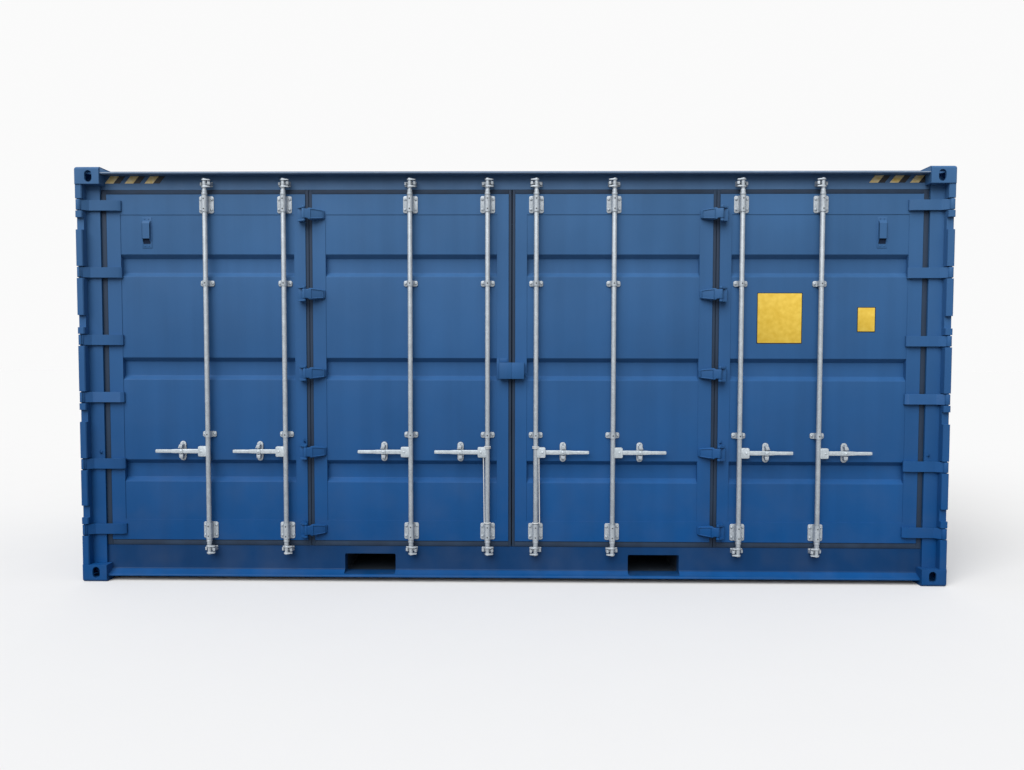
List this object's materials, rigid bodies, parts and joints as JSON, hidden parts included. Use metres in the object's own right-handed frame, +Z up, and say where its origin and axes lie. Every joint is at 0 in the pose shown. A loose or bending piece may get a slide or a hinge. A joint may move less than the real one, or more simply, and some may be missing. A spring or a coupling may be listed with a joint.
{
  "type": "shipping container",
  "caption": "Steel freight container with one whole long side made of folding pairs of hinged door leaves, locking bars, corrugated walls and roof, plywood floor and fork pockets",
  "frame": {"origin": "middle of the footprint, on the ground under the bottom castings", "axes": "+X along the length to the right as seen from the doors, -Y out of the door side, +Z up"},
  "size_m": [6.058, 2.438, 2.896],
  "materials": {
    "blue_paint": "satin sprayed topcoat",
    "galvanised_steel": "hot-dip galvanised, dull",
    "gasket_rubber": "matt black extrusion",
    "floor_plywood": "sealed plywood",
    "underframe_paint": "matt bituminous coating"
  },
  "bodies": {
    "frame": {"bottom_corner_castings": "blue_paint", "cam_keepers": "galvanised_steel", "cross_members": "underframe_paint", "end_bottom_rails": "blue_paint", "end_top_rails": "blue_paint", "floor_boards": "floor_plywood", "fork_pockets": "underframe_paint", "front_bottom_rail": "blue_paint", "front_top_rail": "blue_paint", "left_end_wall": "blue_paint", "left_front_post": "blue_paint", "left_rear_post": "blue_paint", "rear_bottom_rail": "blue_paint", "rear_top_rail": "blue_paint", "rear_wall": "blue_paint", "right_end_wall": "blue_paint", "right_front_post": "blue_paint", "right_rear_post": "blue_paint", "roof_panel": "blue_paint", "top_corner_castings": "blue_paint"},
    "left_outer_leaf": {"left_outer_leaf_frame": "blue_paint", "left_outer_leaf_panel": "blue_paint", "left_outer_leaf_gasket": "gasket_rubber", "left_outer_leaf_hinges": "blue_paint", "left_outer_lock_fittings": "galvanised_steel"},
    "left_inner_leaf": {"left_inner_leaf_frame": "blue_paint", "left_inner_leaf_panel": "blue_paint", "left_inner_leaf_gasket": "gasket_rubber", "left_inner_leaf_hinges": "blue_paint", "left_inner_lock_fittings": "galvanised_steel"},
    "left_bar_1": {"left_lock_bar_1": "galvanised_steel"},
    "left_bar_2": {"left_lock_bar_2": "galvanised_steel"},
    "left_bar_3": {"left_lock_bar_3": "galvanised_steel"},
    "left_bar_4": {"left_lock_bar_4": "galvanised_steel"},
    "right_outer_leaf": {"right_outer_leaf_frame": "blue_paint", "right_outer_leaf_panel": "blue_paint", "right_outer_leaf_gasket": "gasket_rubber", "right_outer_leaf_hinges": "blue_paint", "right_outer_lock_fittings": "galvanised_steel"},
    "right_inner_leaf": {"right_inner_leaf_frame": "blue_paint", "right_inner_leaf_panel": "blue_paint", "right_inner_leaf_gasket": "gasket_rubber", "right_inner_leaf_hinges": "blue_paint", "right_inner_lock_fittings": "galvanised_steel"},
    "right_bar_1": {"right_lock_bar_1": "galvanised_steel"},
    "right_bar_2": {"right_lock_bar_2": "galvanised_steel"},
    "right_bar_3": {"right_lock_bar_3": "galvanised_steel"},
    "right_bar_4": {"right_lock_bar_4": "galvanised_steel"}
  },
  "joints": [
    {"name": "left_outer_leaf_swing", "type": "hinge", "parent": "frame", "child": "left_outer_leaf", "pos_m": [-3.007, -1.196, 1.502], "axis": [0, 0, -1], "range_deg": [0, 240]},
    {"name": "left_inner_leaf_fold", "type": "hinge", "parent": "left_outer_leaf", "child": "left_inner_leaf", "pos_m": [-1.43996, -1.206, 1.502], "axis": [0, 0, 1], "range_deg": [-175, 0]},
    {"name": "left_bar_1_turn", "type": "hinge", "parent": "left_outer_leaf", "child": "left_bar_1", "pos_m": [-2.13403, -1.182, 1.502], "axis": [0, 0, 1], "range_deg": [0, 90]},
    {"name": "left_bar_2_turn", "type": "hinge", "parent": "left_outer_leaf", "child": "left_bar_2", "pos_m": [-1.58698, -1.182, 1.502], "axis": [0, 0, 1], "range_deg": [0, 90]},
    {"name": "left_bar_3_turn", "type": "hinge", "parent": "left_inner_leaf", "child": "left_bar_3", "pos_m": [-0.70701, -1.182, 1.502], "axis": [0, 0, 1], "range_deg": [0, 90]},
    {"name": "left_bar_4_turn", "type": "hinge", "parent": "left_inner_leaf", "child": "left_bar_4", "pos_m": [-0.16895, -1.182, 1.502], "axis": [0, 0, 1], "range_deg": [0, 90]},
    {"name": "right_outer_leaf_swing", "type": "hinge", "parent": "frame", "child": "right_outer_leaf", "pos_m": [3.007, -1.196, 1.502], "axis": [0, 0, 1], "range_deg": [0, 240]},
    {"name": "right_inner_leaf_fold", "type": "hinge", "parent": "right_outer_leaf", "child": "right_inner_leaf", "pos_m": [1.43996, -1.206, 1.502], "axis": [0, 0, -1], "range_deg": [-175, 0]},
    {"name": "right_bar_1_turn", "type": "hinge", "parent": "right_outer_leaf", "child": "right_bar_1", "pos_m": [2.13403, -1.182, 1.502], "axis": [0, 0, -1], "range_deg": [0, 90]},
    {"name": "right_bar_2_turn", "type": "hinge", "parent": "right_outer_leaf", "child": "right_bar_2", "pos_m": [1.58698, -1.182, 1.502], "axis": [0, 0, -1], "range_deg": [0, 90]},
    {"name": "right_bar_3_turn", "type": "hinge", "parent": "right_inner_leaf", "child": "right_bar_3", "pos_m": [0.70701, -1.182, 1.502], "axis": [0, 0, -1], "range_deg": [0, 90]},
    {"name": "right_bar_4_turn", "type": "hinge", "parent": "right_inner_leaf", "child": "right_bar_4", "pos_m": [0.16895, -1.182, 1.502], "axis": [0, 0, -1], "range_deg": [0, 90]}
  ]
}
